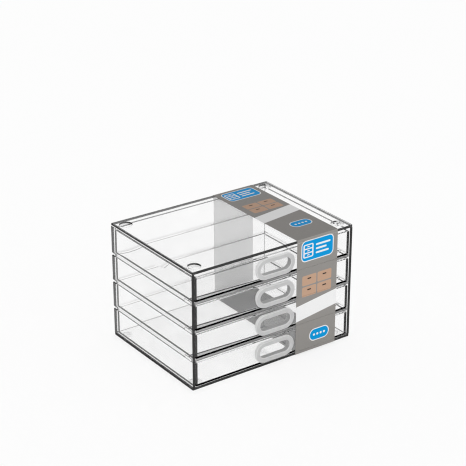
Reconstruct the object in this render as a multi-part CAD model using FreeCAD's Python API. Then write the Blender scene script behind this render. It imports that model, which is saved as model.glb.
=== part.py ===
import FreeCAD, Part
import os

# A clear desktop cabinet with four sliding drawers one above another. Each drawer is a thin-walled
# tray with a frosted ring in its front to pull it by. Shelves part the four bays, round feet stand
# under the floor, and round sockets in the roof take the feet of a second cabinet. A printed sleeve
# runs round the cabinet, cut at each drawer so that the drawers open.
# X runs along the width, the drawer fronts face -Y, Z is up, and the feet stand on Z = 0. The origin
# is under the middle of the whole box. Bays and drawers are counted from the bottom.

# Cabinet, all lengths in millimetres
cabinet_width = 162.0
cabinet_depth = 119.8
roof_thickness = 2.4
roof_headroom = 1.5
floor_thickness = 2.4
wall_thickness = 2.6
back_thickness = 2.6
panel_corner_radius = 0.8
drawer_count = 4

# Shelves, with two tabs at each side: one in a pocket near the front, one in a notch at the rear
tier_pitch = 25.1
shelf_thickness = 2.2
shelf_setback = 0.3
tab_clearance = 0.1
front_tab_length = 9.0
front_tab_inset = 2.6
front_tab_reach = 1.3
rear_tab_length = 5.4
rear_tab_shortfall = 0.7

# Feet under the floor and the sockets in the roof that take them
foot_height = 1.0
foot_radius = 5.3
foot_edge_radius = 0.3
foot_inset_x = 8.8
foot_inset_y = 9.5
spigot_radius = 2.5
spigot_height = 1.2
spigot_clearance = 0.1
socket_clearance = 0.3
socket_depth = 1.5

# Drawer trays
tray_side_gap = 0.7
tray_under_gap = 0.2
tray_head_gap = 1.2
tray_rear_gap = 0.4
tray_floor_thickness = 1.3
tray_wall_thickness = 1.6
tray_front_thickness = 2.0
tray_corner_radius = 0.4
tray_inner_radius = 1.0
tray_floor_radius = 0.5

# Drawer stops: nubs hang in each bay near the front, and the tray's rear wall is tall enough to meet them
stop_clearance = 0.3
nub_width = 6.0
nub_length = 2.4
nub_inset = 11.0
nub_clearance = 0.4

# Pull rings, each an obround collar clipped through the drawer front
ring_width = 39.0
ring_margin = 1.45
ring_rim = 4.1
ring_proud = 2.2
ring_neck_rim = 1.2
ring_neck_clearance = 0.15
ring_lip_gap = 1.15
ring_lip_thickness = 1.2
ring_edge_radius = 0.8

# Printed sleeve, cut at each drawer. It lies between the pull rings and the right-hand feet.
sleeve_thickness = 0.3
sleeve_ring_gap = 3.1
sleeve_foot_gap = 1.9
sleeve_cut = 0.25

# Cutting bodies run this far past the faces that they cut
overrun = 1.0

# An edge lies in a plane when it strays from it by less than this
edge_tolerance = 0.02

# An edge is upright when more than this share of its direction is along Z
upright_share = 0.999

# Places worked out from the sizes above
overall_depth = ring_proud + cabinet_depth + sleeve_thickness
front_y = ring_proud - overall_depth / 2
rear_y = front_y + cabinet_depth
half_width = cabinet_width / 2
inner_half_width = half_width - wall_thickness
back_front_y = rear_y - back_thickness
floor_bottom = foot_height
floor_top = floor_bottom + floor_thickness
roof_underside = floor_top + tier_pitch * drawer_count - shelf_thickness + roof_headroom
cabinet_height = roof_underside + roof_thickness
tray_height = tier_pitch - shelf_thickness - tray_under_gap - tray_head_gap
tray_half_width = inner_half_width - tray_side_gap
tray_rear_y = back_front_y - tray_rear_gap
socket_radius = foot_radius + socket_clearance
ring_height = tray_height - ring_margin * 2
ring_hole_width = ring_width - ring_rim * 2
ring_hole_height = ring_height - ring_rim * 2
sleeve_left = ring_width / 2 + sleeve_ring_gap
sleeve_right = half_width - foot_inset_x - foot_radius - sleeve_foot_gap


def vector(x, y, z):
    return FreeCAD.Vector(x, y, z)


def block(low, high):
    """Box from its lowest corner to its highest one."""
    size = [b - a for a, b in zip(low, high)]
    return Part.makeBox(*size, vector(*low))


def upright_edges(shape):
    """Straight edges that run along Z."""
    found = []
    for edge in shape.Edges:
        if abs(edge.tangentAt(edge.FirstParameter).z) > upright_share:
            found.append(edge)
    return found


def edges_at_height(shape, height):
    """Edges that lie in the level plane at this height."""
    found = []
    for edge in shape.Edges:
        box = edge.BoundBox
        if box.ZLength < edge_tolerance and abs(box.ZMin - height) < edge_tolerance:
            found.append(edge)
    return found


def rounded_block(low, high, radius):
    """Box with its four upright edges rounded."""
    solid = block(low, high)
    return solid.makeFillet(radius, upright_edges(solid))


def obround_prism(centre_z, width, height, near_y, far_y):
    """Bar along Y with a level obround section, centred on X = 0."""
    radius = height / 2
    reach = width / 2 - radius
    top = centre_z + radius
    bottom = centre_z - radius
    right_end = Part.Arc(
        vector(reach, near_y, bottom),
        vector(reach + radius, near_y, centre_z),
        vector(reach, near_y, top),
    )
    left_end = Part.Arc(
        vector(-reach, near_y, top),
        vector(-reach - radius, near_y, centre_z),
        vector(-reach, near_y, bottom),
    )
    upper = Part.LineSegment(vector(reach, near_y, top), vector(-reach, near_y, top))
    lower = Part.LineSegment(vector(-reach, near_y, bottom), vector(reach, near_y, bottom))
    wire = Part.Wire([part.toShape() for part in (right_end, upper, left_end, lower)])
    return Part.Face(wire).extrude(vector(0, far_y - near_y, 0))


def disc(x, y, bottom, radius, height):
    """Upright round disc or pin."""
    return Part.makeCylinder(radius, height, vector(x, y, bottom))


def bay_floor(level):
    """Height of the face that the drawer of this level slides on."""
    return floor_top + tier_pitch * level


def tray_bottom(level):
    return bay_floor(level) + tray_under_gap


def tray_top(level):
    return tray_bottom(level) + tray_height


def ring_centre(level):
    return tray_bottom(level) + tray_height / 2


def corner_places():
    """Name and centre of each foot, and of the socket above it."""
    x = half_width - foot_inset_x
    near = front_y + foot_inset_y
    far = rear_y - foot_inset_y
    return {
        "front_left": (-x, near),
        "front_right": (x, near),
        "rear_left": (-x, far),
        "rear_right": (x, far),
    }


def stop_nubs(level, underside):
    """Two small blocks under the roof or a shelf, which the rear wall of the tray below meets."""
    near = front_y + nub_inset
    low_z = tray_top(level) + nub_clearance
    outer = inner_half_width - tray_side_gap
    right = block((outer - nub_width, near, low_z), (outer, near + nub_length, underside))
    left = block((-outer, near, low_z), (nub_width - outer, near + nub_length, underside))
    return [left, right]


def roof_panel():
    plate = rounded_block(
        (-half_width, front_y, roof_underside),
        (half_width, rear_y, cabinet_height),
        panel_corner_radius,
    )
    socket_bottom = cabinet_height - socket_depth
    for x, y in corner_places().values():
        plate = plate.cut(disc(x, y, socket_bottom, socket_radius, socket_depth + overrun))
    return plate.multiFuse(stop_nubs(drawer_count - 1, roof_underside))


def floor_panel():
    plate = rounded_block(
        (-half_width, front_y, floor_bottom),
        (half_width, rear_y, floor_top),
        panel_corner_radius,
    )
    hole_radius = spigot_radius + spigot_clearance
    hole_depth = spigot_height + spigot_clearance
    for x, y in corner_places().values():
        plate = plate.cut(disc(x, y, floor_bottom - overrun, hole_radius, hole_depth + overrun))
    return plate


def foot(x, y):
    """Round foot with a spigot that seats in the floor."""
    pad = disc(x, y, 0, foot_radius, foot_height)
    pad = pad.makeFillet(foot_edge_radius, edges_at_height(pad, 0))
    return pad.fuse(disc(x, y, foot_height, spigot_radius, spigot_height))


def shelf_span(level):
    """Lowest and highest Z of the shelf above the bay of this level."""
    top = bay_floor(level + 1)
    return top - shelf_thickness, top


def front_tab_span():
    near = front_y + front_tab_inset
    return near, near + front_tab_length


def shelf(level):
    """Shelf above the bay of this level, with its side tabs and the stop nubs under it."""
    low_z, high_z = shelf_span(level)
    plate = block(
        (-inner_half_width, front_y + shelf_setback, low_z),
        (inner_half_width, back_front_y, high_z),
    )
    tab_near, tab_far = front_tab_span()
    front_reach = inner_half_width + front_tab_reach
    rear_reach = half_width - rear_tab_shortfall
    front_tabs = block((-front_reach, tab_near, low_z), (front_reach, tab_far, high_z))
    pieces = [front_tabs]
    for near_x, far_x in ((-rear_reach, -inner_half_width), (inner_half_width, rear_reach)):
        pieces.append(block((near_x, rear_y - rear_tab_length, low_z), (far_x, rear_y, high_z)))
    pieces += stop_nubs(level, low_z)
    return plate.multiFuse(pieces)


def side_wall(side):
    """Wall at the left (side -1) or the right (side 1), with the slots that hold the shelves."""
    faces_x = sorted((side * inner_half_width, side * half_width))
    wall = block((faces_x[0], front_y, floor_top), (faces_x[1], rear_y, roof_underside))
    middle_x = inner_half_width + wall_thickness / 2
    outer_edges = [edge for edge in upright_edges(wall) if abs(edge.BoundBox.XMin) > middle_x]
    wall = wall.makeFillet(panel_corner_radius, outer_edges)
    tab_near, tab_far = front_tab_span()
    inside_x = side * (inner_half_width - overrun)
    pocket_x = side * (inner_half_width + front_tab_reach + tab_clearance)
    outside_x = side * (half_width + overrun)
    pocket_xs = sorted((inside_x, pocket_x))
    notch_xs = sorted((inside_x, outside_x))
    pocket_near = tab_near - tab_clearance
    pocket_far = tab_far + tab_clearance
    notch_near = rear_y - rear_tab_length - tab_clearance
    for level in range(drawer_count - 1):
        low_z, high_z = shelf_span(level)
        low_z -= tab_clearance
        high_z += tab_clearance
        pocket = block((pocket_xs[0], pocket_near, low_z), (pocket_xs[1], pocket_far, high_z))
        notch = block((notch_xs[0], notch_near, low_z), (notch_xs[1], rear_y + overrun, high_z))
        wall = wall.cut(pocket).cut(notch)
    return wall


def back_panel():
    """Rear panel, let in between the side walls, the floor and the roof."""
    return block(
        (-inner_half_width, back_front_y, floor_top),
        (inner_half_width, rear_y, roof_underside),
    )


def drawer_tray(level):
    """Open tray with a finger hole in its front and a taller rear wall, which meets the stop nubs."""
    bottom = tray_bottom(level)
    top = tray_top(level)
    rear_top = top + tray_head_gap - stop_clearance
    rear_wall_near = tray_rear_y - tray_wall_thickness
    shell = rounded_block(
        (-tray_half_width, front_y, bottom),
        (tray_half_width, tray_rear_y, rear_top),
        tray_corner_radius,
    )
    above_rim = block(
        (-half_width, front_y - overrun, top),
        (half_width, rear_wall_near, rear_top + overrun),
    )
    shell = shell.cut(above_rim)
    inner_half = tray_half_width - tray_wall_thickness
    inner_floor = bottom + tray_floor_thickness
    cavity = rounded_block(
        (-inner_half, front_y + tray_front_thickness, inner_floor),
        (inner_half, rear_wall_near, rear_top + overrun),
        tray_inner_radius,
    )
    cavity = cavity.makeFillet(tray_floor_radius, edges_at_height(cavity, inner_floor))
    hole_rim = ring_neck_rim + ring_neck_clearance
    hole = obround_prism(
        ring_centre(level),
        ring_hole_width + hole_rim * 2,
        ring_hole_height + hole_rim * 2,
        front_y - overrun,
        front_y + tray_front_thickness + overrun,
    )
    return shell.cut(cavity).cut(hole)


def pull_ring(level):
    """Obround collar: a proud rim in front, a neck through the drawer front and a lip behind it."""
    centre = ring_centre(level)
    lip_rim = (tray_height - ring_hole_height) / 2 - tray_floor_thickness - tray_floor_radius - ring_lip_gap
    rim_y = front_y - ring_proud
    inner_y = front_y + tray_front_thickness
    lip_y = inner_y + ring_lip_thickness
    neck_width = ring_hole_width + ring_neck_rim * 2
    neck_height = ring_hole_height + ring_neck_rim * 2
    lip_width = ring_hole_width + lip_rim * 2
    lip_height = ring_hole_height + lip_rim * 2
    rim = obround_prism(centre, ring_width, ring_height, rim_y, front_y)
    neck = obround_prism(centre, neck_width, neck_height, rim_y, lip_y)
    lip = obround_prism(centre, lip_width, lip_height, inner_y, lip_y)
    hole = obround_prism(centre, ring_hole_width, ring_hole_height, rim_y - overrun, lip_y + overrun)
    collar = rim.multiFuse([neck, lip]).removeSplitter().cut(hole)
    front_edges = []
    for edge in collar.Edges:
        box = edge.BoundBox
        if box.YLength < edge_tolerance and abs(box.YMin - rim_y) < edge_tolerance:
            front_edges.append(edge)
    return collar.makeFillet(ring_edge_radius, front_edges)


def cabinet_sleeve():
    """Printed sleeve over the roof, down the back and under the floor, with a lip at each front edge."""
    lip_top = tray_bottom(0) - sleeve_cut
    outer = block(
        (sleeve_left, front_y - sleeve_thickness, floor_bottom - sleeve_thickness),
        (sleeve_right, rear_y + sleeve_thickness, cabinet_height + sleeve_thickness),
    )
    low_x = sleeve_left - overrun
    high_x = sleeve_right + overrun
    core = block((low_x, front_y, floor_bottom), (high_x, rear_y, cabinet_height))
    window = block(
        (low_x, front_y - sleeve_thickness - overrun, lip_top),
        (high_x, front_y + overrun, roof_underside),
    )
    return outer.cut(core).cut(window)


def drawer_strip(level):
    """The sleeve's stretch on one drawer front. It reaches up to the next stretch."""
    if level == drawer_count - 1:
        high_z = roof_underside - sleeve_cut
    else:
        high_z = tray_bottom(level + 1) - sleeve_cut
    return block(
        (sleeve_left, front_y - sleeve_thickness, tray_bottom(level)),
        (sleeve_right, front_y, high_z),
    )


def all_parts():
    """Every piece by name."""
    parts = {
        "roof_panel": roof_panel(),
        "floor_panel": floor_panel(),
        "left_wall": side_wall(-1),
        "right_wall": side_wall(1),
        "back_panel": back_panel(),
        "cabinet_sleeve": cabinet_sleeve(),
    }
    for name, (x, y) in corner_places().items():
        parts["foot_" + name] = foot(x, y)
    for level in range(drawer_count - 1):
        parts["shelf_%d" % (level + 1)] = shelf(level)
    for level in range(drawer_count):
        parts["drawer_tray_%d" % (level + 1)] = drawer_tray(level)
        parts["pull_ring_%d" % (level + 1)] = pull_ring(level)
        parts["drawer_strip_%d" % (level + 1)] = drawer_strip(level)
    return parts


def main():
    os.makedirs("parts", exist_ok=True)
    for name, shape in all_parts().items():
        shape = shape.removeSplitter()
        box = shape.BoundBox
        low = tuple(round(value, 2) for value in (box.XMin, box.YMin, box.ZMin))
        high = tuple(round(value, 2) for value in (box.XMax, box.YMax, box.ZMax))
        print(name, "solids", len(shape.Solids), "valid", shape.isValid(), "from", low, "to", high)
        shape.exportStep(os.path.join("parts", name + ".step"))


main()
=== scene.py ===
"""Clear desktop cabinet with four sliding drawers, dressed around its fixed construction frame.

Every surface is worked out with numpy, in metres, in the frame of the construction solids: X runs
along the width, the drawer fronts face -Y and the feet stand on Z = 0.
"""
import logging
import math
from dataclasses import dataclass, field
from enum import Enum

import bpy
import numpy as np
from mathutils import Matrix, Vector
from mathutils.geometry import tessellate_polygon


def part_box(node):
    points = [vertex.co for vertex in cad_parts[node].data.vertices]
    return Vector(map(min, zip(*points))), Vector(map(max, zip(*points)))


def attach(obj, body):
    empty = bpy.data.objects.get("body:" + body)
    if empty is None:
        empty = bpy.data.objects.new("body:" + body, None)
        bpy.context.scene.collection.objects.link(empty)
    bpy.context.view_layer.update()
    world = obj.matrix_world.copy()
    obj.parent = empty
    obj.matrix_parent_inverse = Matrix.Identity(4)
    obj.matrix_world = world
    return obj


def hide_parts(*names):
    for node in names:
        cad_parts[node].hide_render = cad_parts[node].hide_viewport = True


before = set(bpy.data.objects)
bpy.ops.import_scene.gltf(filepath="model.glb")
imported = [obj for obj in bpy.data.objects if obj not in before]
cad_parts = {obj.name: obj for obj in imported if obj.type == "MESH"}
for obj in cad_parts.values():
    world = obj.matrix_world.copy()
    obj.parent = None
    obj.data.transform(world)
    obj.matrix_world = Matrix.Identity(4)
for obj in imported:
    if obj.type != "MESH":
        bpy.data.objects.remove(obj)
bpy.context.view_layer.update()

log = logging.getLogger("mini_drawers")

Array = np.ndarray
Piece = bpy.types.Object
Material = bpy.types.Material
Node = bpy.types.Node
Socket = bpy.types.NodeSocket
Colour = tuple[float, float, float]
Pair = tuple[float, float] | Array
# An outline is its points and its outward normals
Outline = tuple[Array, Array]

DRAWERS = range(1, 5)
FOOT_CORNERS = ("front_left", "front_right", "rear_left", "rear_right")
# Part of a unit normal along an axis past which it counts as turned that way
TURNED_PAST = 0.5
# Blender's noise seldom leaves this range
NOISE_RANGE = (0.3, 0.7)
MM_PER_M = 1000.0


class Facing(Enum):
    """Axis that a panel's thickness runs along. The value turns (along, across, height) into X, Y, Z."""

    UP = 0
    SIDEWAYS = 1
    BACKWARD = 2


class Finish(Enum):
    """Which of a piece's finishes a face takes."""

    FACE = 0
    EDGE = 1
    JOINT = 2
    # painted shade on the trays' front corner strips and long rims
    PAINTED_SHADE = 3
    COUPLED = 4


class Kind(Enum):
    """Whether a step in a panel's face goes into the panel or stands out of it."""

    POCKET = -1
    BOSS = 1


def woven(*parts: Array | float) -> Array:
    """Array whose last axis holds the parts, each spread to the shape that they share."""
    return np.stack(np.broadcast_arrays(*parts), axis=-1)


def quarter(steps: int) -> tuple[Array, Array]:
    """Sine and cosine of angles from 0 to 90 degrees."""
    angles = np.linspace(0, math.pi / 2, steps + 1)
    return np.sin(angles), np.cos(angles)


def node_box(name: str) -> tuple[Array, Array]:
    """Lowest and highest corner of a construction solid."""
    low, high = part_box(name)
    return np.array(low), np.array(high)


def rounded_outline(corners: Array, radii: float | Array, steps: int) -> Outline:
    """Closed outline whose corners are arcs that meet the straight runs smoothly.

    With a the heading of the run into a corner and t the turn there, the arc's normal at share f is
    (sin(a + t f), -cos(a + t f)), and its centre lies r inside the tangent point, which is
    r tan(|t| / 2) before the corner.

    Args:
        corners: (n, 2) corners, anticlockwise.
        radii: One radius, or one for each corner.
        steps: Segments in each arc.

    Returns:
        Points and outward normals, both (n * (steps + 1), 2).
    """
    radii = np.broadcast_to(np.asarray(radii, float), len(corners))
    into = corners - np.roll(corners, 1, axis=0)
    into = into / np.linalg.norm(into, axis=1, keepdims=True)
    out = np.roll(into, -1, axis=0)
    turn = np.arctan2(into[:, 0] * out[:, 1] - into[:, 1] * out[:, 0], (into * out).sum(axis=1))
    start = corners - into * (radii * np.tan(np.abs(turn) / 2))[:, None]
    heading = np.arctan2(into[:, 1], into[:, 0])
    angles = heading[:, None] + turn[:, None] * np.linspace(0, 1, steps + 1)
    normals = woven(np.sin(angles), -np.cos(angles))
    bow = (np.sign(turn) * radii)[:, None, None]
    points = start[:, None, :] + bow * (normals - normals[:, :1])
    return points.reshape(-1, 2), normals.reshape(-1, 2)


def bends(corners: list[Pair] | Array, radii: float | list[float], steps: int) -> Outline:
    """Arcs at the inner corners of an open path, as in rounded_outline, without the path's ends."""
    points, normals = rounded_outline(np.array(corners), radii, steps)
    inner = slice(steps + 1, -steps - 1)
    return points[inner], normals[inner]


def rectangle(low: Pair, high: Pair) -> Array:
    """Corners of a rectangle, anticlockwise from its lower right one."""
    return np.array([(high[0], low[1]), (high[0], high[1]), (low[0], high[1]), (low[0], low[1])])


def obround(half_run: float, radius: float, steps: int) -> Outline:
    """Obround about the origin: half circles through -90 to 90 and 90 to 270 degrees.

    Args:
        half_run: Half the length of the straight sides.
        radius: Radius of the ends.
        steps: Segments in each end.

    Returns:
        Points and outward normals, both (2 * (steps + 1), 2).
    """
    angles = np.radians([np.linspace(-90, 90, steps + 1), np.linspace(90, 270, steps + 1)])
    normals = woven(np.cos(angles), np.sin(angles))
    centres = np.array([[(half_run, 0.0)], [(-half_run, 0.0)]])
    return (centres + normals * radius).reshape(-1, 2), normals.reshape(-1, 2)


def circle(centre: Array, radius: float, steps: int) -> Outline:
    """Circle, anticlockwise: centre + radius (cos a, sin a)."""
    angles = np.linspace(0, 2 * math.pi, steps, endpoint=False)
    normals = woven(np.cos(angles), np.sin(angles))
    return centre + normals * radius, normals


def carried(outline: Outline, section: Outline) -> Outline:
    """Carry a section (d, t) round an outline: a point is (outline + n d, t).

    Args:
        outline: Points and normals of the outline, with one column for each.
        section: Points and normals of the section, with one row for each.

    Returns:
        Points and normals, both (rows, columns, 3).
    """
    (x, y), (u, v) = (part.T for part in outline)
    (d, t), (a, b) = (part.T[..., None] for part in section)
    return woven(x + u * d, y + v * d, t), woven(u * a, v * a, b)


def linked(name: str, data: bpy.types.ID) -> Piece:
    """Object with the given data, linked to the scene."""
    made = bpy.data.objects.new(name, data)
    bpy.context.scene.collection.objects.link(made)
    return made


class Skin:
    """A closed mesh in the making, with a smooth normal for every point."""

    def __init__(self) -> None:
        """Start with no points and no faces."""
        self.points = np.empty((0, 3))
        self.normals = np.empty((0, 3))
        self.chart = np.empty((0, 2))
        self.faces: list[tuple[int, ...]] = []
        self.finishes: list[Finish] = []
        self.flats: dict[int, Array] = {}

    def add_grid(self, points: Array, normals: Array, chart: Array | float = 0.0) -> Array:
        """Add a grid of points with their normals, and a chart position each if they have one.

        Returns:
            Point indices, in the grid's shape.
        """
        shape = points.shape[:-1]
        first = len(self.points)
        self.points = np.vstack([self.points, points.reshape(-1, 3)])
        self.normals = np.vstack([self.normals, normals.reshape(-1, 3)])
        self.chart = np.vstack([self.chart, np.broadcast_to(chart, (*shape, 2)).reshape(-1, 2)])
        return np.arange(first, len(self.points)).reshape(shape)

    def add_faces(self, faces: Array, finish: Finish) -> None:
        """Add faces, given as rows of point indices."""
        self.faces += [tuple(face) for face in faces.tolist()]
        self.finishes += [finish] * len(faces)

    def add_quads(
        self, index: Array, finish: Finish, wrap: bool = True,
        picked: Array | None = None, creased: bool = False,
    ) -> None:
        """Quads between neighbouring rows and columns of an index grid, turned along the normals.

        Args:
            index: (rows, columns) point indices.
            finish: Finish of the faces.
            wrap: Whether the last column joins the first.
            picked: Which columns get a quad to their right, where not all of them do.
            creased: Whether each quad keeps its own normal, with sharp edges round it.
        """
        right = np.roll(index, -1, axis=1)
        here, beside = (index, right) if wrap else (index[:, :-1], right[:, :-1])
        if picked is not None:
            here, beside = here[:, picked], beside[:, picked]
        quads = woven(here[:-1], beside[:-1], beside[1:], here[1:]).reshape(-1, 4)
        a, b, c, d = np.moveaxis(self.points[quads], 1, 0)
        turn = np.cross(c - a, d - b)
        if (turn * self.normals[quads].sum(axis=1)).sum() < 0:
            quads, turn = quads[:, ::-1], -turn
        if creased:
            own = turn / np.linalg.norm(turn, axis=1, keepdims=True)
            self.flats.update(enumerate(own, len(self.faces)))
        self.add_faces(quads, finish)

    def add_cap(self, loops: list[Array], normal: Array, finish: Finish, flat: bool = False) -> None:
        """Flat face inside the first loop of point indices, with the other loops as holes in it.

        Args:
            loops: Point indices of each loop.
            normal: Outward normal of the face.
            finish: Finish of the face.
            flat: Whether the face keeps its own normal, with a sharp edge round it.
        """
        plane = np.delete(np.arange(3), np.argmax(np.abs(normal)))
        outline = [[Vector((*self.points[i][plane], 0)) for i in loop] for loop in loops]
        faces = np.concatenate(loops)[np.array(tessellate_polygon(outline))]
        a, b, c = np.moveaxis(self.points[faces], 1, 0)
        turned = np.cross(b - a, c - a) @ normal < 0
        faces[turned] = faces[turned, ::-1]
        if flat:
            self.flats.update(enumerate([normal] * len(faces), len(self.faces)))
        self.add_faces(faces, finish)

    def add_fan(self, loop: Array, tip: Array, normal: Array, finish: Finish) -> None:
        """Close a loop of point indices with triangles to one tip point."""
        centre = self.add_grid(tip, normal)
        after = np.roll(loop, -1)
        turn = np.cross(self.points[loop[0]] - tip, self.points[after[0]] - tip)
        one, other = (loop, after) if np.dot(turn, normal) > 0 else (after, loop)
        self.add_faces(woven(centre, one, other), finish)

    def to_object(self, name: str, materials: dict[Finish, Material]) -> Piece:
        """The finished mesh as an object at the origin.

        Args:
            name: Name of the piece.
            materials: Material for each finish.

        Returns:
            The object, linked to the scene.
        """
        mesh = bpy.data.meshes.new(name)
        mesh.from_pydata(self.points.tolist(), [], self.faces)
        slots = {finish: slot for slot, finish in enumerate(materials)}
        used = np.array([slots[finish] for finish in self.finishes], np.int32)
        mesh.polygons.foreach_set("material_index", used)
        mesh.polygons.foreach_set("use_smooth", np.ones(len(self.faces), bool))
        corners = np.empty(len(mesh.loops), np.int32)
        mesh.loops.foreach_get("vertex_index", corners)
        chart = mesh.uv_layers.new(name="chart")
        chart.data.foreach_set("uv", self.chart[corners].astype(np.float32).ravel())
        normals = self.normals[corners]
        for face, normal in self.flats.items():
            polygon = mesh.polygons[face]
            normals[polygon.loop_start : polygon.loop_start + polygon.loop_total] = normal
        mesh.normals_split_custom_set(normals.tolist())
        for material in materials.values():
            mesh.materials.append(material)
        mesh.validate()
        return linked(name, mesh)


@dataclass
class Step:
    """A pocket in one face of a panel, or a boss on it, with rounded edges.

    The wall follows the outline. With t the way from the face and d the way out of the outline, the
    mouth runs through d = r (1 - sin p), t = r (1 - cos p), and the end through
    d = -r (1 - cos p), t = depth - r (1 - sin p), for p from 0 to 90 degrees.
    """

    outline: Outline
    depth: float
    kind: Kind
    on_high_face: bool
    radius: float = 0.00012
    rows: int = 3

    def build(self, skin: Skin, panel: "Panel") -> Array:
        """Add the step's wall and end to the skin.

        Returns:
            Point indices of the loop in the panel's face.
        """
        sine, cosine = quarter(self.rows)
        facing = 1.0 if self.on_high_face else -1.0
        level = panel.high if self.on_high_face else panel.low
        out = np.concatenate([self.radius * (1 - sine), -self.radius * (1 - cosine)])
        away = np.concatenate([self.radius * (1 - cosine), self.depth - self.radius * (1 - sine)])
        side = np.concatenate([sine, cosine]) * self.kind.value
        up = np.concatenate([cosine, sine]) * facing
        section = woven(out, level + facing * self.kind.value * away), woven(side, up)
        index = panel.add_rows(skin, self.outline, section)
        skin.add_quads(index, Finish.FACE)
        skin.add_cap([index[-1]], panel.turned(np.array([0, 0, facing])), Finish.FACE)
        return index[0]


@dataclass
class Panel:
    """A flat moulded panel: an outline with a thickness, its edges rounded, with steps in its faces."""

    outline: Outline
    low: float
    high: float
    facing: Facing
    edge_radius: float = 0.0003
    rows: int = 4
    steps: list[Step] = field(default_factory=list)
    joined: dict[Finish, Array] = field(default_factory=dict)
    seam: float | None = None

    def turned(self, local: Array) -> Array:
        """Turn (along, across, height) into X, Y, Z."""
        return np.roll(local, self.facing.value, axis=-1)

    def add_rows(self, skin: Skin, outline: Outline, section: Outline) -> Array:
        """Add a section (d, height) carried round an outline in the panel's plane.

        Returns:
            (rows, columns) point indices.
        """
        return skin.add_grid(*(self.turned(part) for part in carried(outline, section)))

    def build(self, skin: Skin) -> None:
        """Add the panel to the skin, with its joined columns cemented up to the seam, or all the way.

        The edge's lower round has inset r (1 - cos p) at height low + r (1 - sin p), for p from 90
        to 0 degrees, and the upper one mirrors it.
        """
        sine, cosine = quarter(self.rows)
        seam = self.low + (self.high - self.low) / 2 if self.seam is None else self.seam
        rise = self.edge_radius * (1 - sine)
        height = np.concatenate([self.low + rise[::-1], [seam], self.high - rise])
        side = np.concatenate([cosine[::-1], [1.0], cosine])
        up = np.concatenate([-sine[::-1], [0.0], sine])
        section = woven(self.edge_radius * (side - 1), height), woven(side, up)
        index = self.add_rows(skin, self.outline, section)
        below, above = index[: self.rows + 2], index[self.rows + 1 :]
        plain = np.ones(index.shape[1], bool)
        for finish, columns in self.joined.items():
            picked = columns & np.roll(columns, -1)
            plain &= ~picked
            skin.add_quads(below, finish, picked=picked)
            if self.seam is None:
                skin.add_quads(above, finish, picked=picked)
        skin.add_quads(below, Finish.EDGE, picked=plain)
        skin.add_quads(above, Finish.EDGE, picked=plain if self.seam is None else None)
        loops = {False: [index[0]], True: [index[-1]]}
        for step in self.steps:
            loops[step.on_high_face].append(step.build(skin, self))
        for is_high, facing in ((False, -1.0), (True, 1.0)):
            skin.add_cap(loops[is_high], self.turned(np.array([0, 0, facing])), Finish.FACE)


class Nodes:
    """Small helper that adds shader nodes to one material and joins them."""

    def __init__(self, material: Material) -> None:
        """Start on a material with an empty node tree."""
        material.use_nodes = True
        self.tree = material.node_tree
        self.tree.nodes.clear()

    def fill(self, socket: Socket, value: object) -> None:
        """Join an output, or a node's first output, to a socket, or set the socket's own value."""
        if isinstance(value, Node):
            value = value.outputs[0]
        if isinstance(value, Socket):
            self.tree.links.new(value, socket)
        else:
            socket.default_value = value

    def add(self, kind: str, **sockets: object) -> Node:
        """Add a shader node and fill its inputs, by name with _ for a space, or by place as s0, s1.

        Returns:
            The node.
        """
        node = self.tree.nodes.new("ShaderNode" + kind)
        for name, value in sockets.items():
            place = int(name[1:]) if name[0] == "s" and name[1:].isdigit() else name.replace("_", " ")
            self.fill(node.inputs[place], value)
        return node

    def operate(self, kind: str, operation: str, *values: object) -> Node:
        """Node of a kind that has operations, with its first inputs filled.

        Returns:
            The node.
        """
        node = self.tree.nodes.new("ShaderNode" + kind)
        node.operation = operation
        for socket, value in zip(node.inputs, values):
            self.fill(socket, value)
        return node

    def math(self, operation: str, *values: object) -> Node:
        """Math node."""
        return self.operate("Math", operation, *values)

    def vector(self, operation: str, *values: object) -> Node:
        """Vector Math node, whose outputs are a vector and a value."""
        return self.operate("VectorMath", operation, *values)

    def scaled(self, vector: object, scale: object) -> Node:
        """Vector, or colour, times a number."""
        node = self.vector("SCALE", vector)
        self.fill(node.inputs["Scale"], scale)
        return node

    def blend(self, share: object, one: object, other: object) -> Socket:
        """Colour mixed from one to other by a share.

        Returns:
            The colour output.
        """
        node = self.tree.nodes.new("ShaderNodeMix")
        node.data_type = "RGBA"
        for socket, value in ((0, share), (6, one), (7, other)):
            self.fill(node.inputs[socket], value)
        return node.outputs[2]

    def mix(self, share: object, one: object, other: object) -> Node:
        """Shader mixed from one to other by a share."""
        return self.add("MixShader", s0=share, s1=one, s2=other)

    def spread(self, value: object, from_low: float, from_high: float, low: float, high: float) -> Node:
        """Value carried from one range to another, and kept within it."""
        ranges = {"From_Min": from_low, "From_Max": from_high, "To_Min": low, "To_Max": high}
        return self.add("MapRange", Value=value, **ranges)

    def noise(self, scale: float, detail: float, low: float, high: float) -> Node:
        """Noise on Object coordinates, spread between two values."""
        place = self.add("TexCoord").outputs["Object"]
        noise = self.add("TexNoise", Vector=place, Scale=scale, Detail=detail)
        return self.spread(noise, *NOISE_RANGE, low, high)

    def grain(self, scale: float, height: float) -> Node:
        """Normal of a fine grain, height metres deep."""
        relief = self.noise(scale, detail=3.0, low=0.0, high=1.0)
        return self.add("Bump", Strength=1.0, Distance=height, Height=relief)

    def gloss(self, roughness: float) -> Node:
        """Roughness that varies a little."""
        return self.noise(400.0, detail=3.0, low=roughness - 0.05, high=roughness + 0.05)

    def beyond(self, place: object, centre: Pair, half: Pair) -> Socket:
        """Distance from a rectangle: the length of max(|place - centre| - half, 0)."""
        offset = self.vector("ABSOLUTE", self.vector("SUBTRACT", place, (*centre, 0.0)))
        past = self.vector("MAXIMUM", self.vector("SUBTRACT", offset, (*half, 0.0)), (0.0, 0.0, 0.0))
        return self.vector("LENGTH", past).outputs[1]


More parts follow.
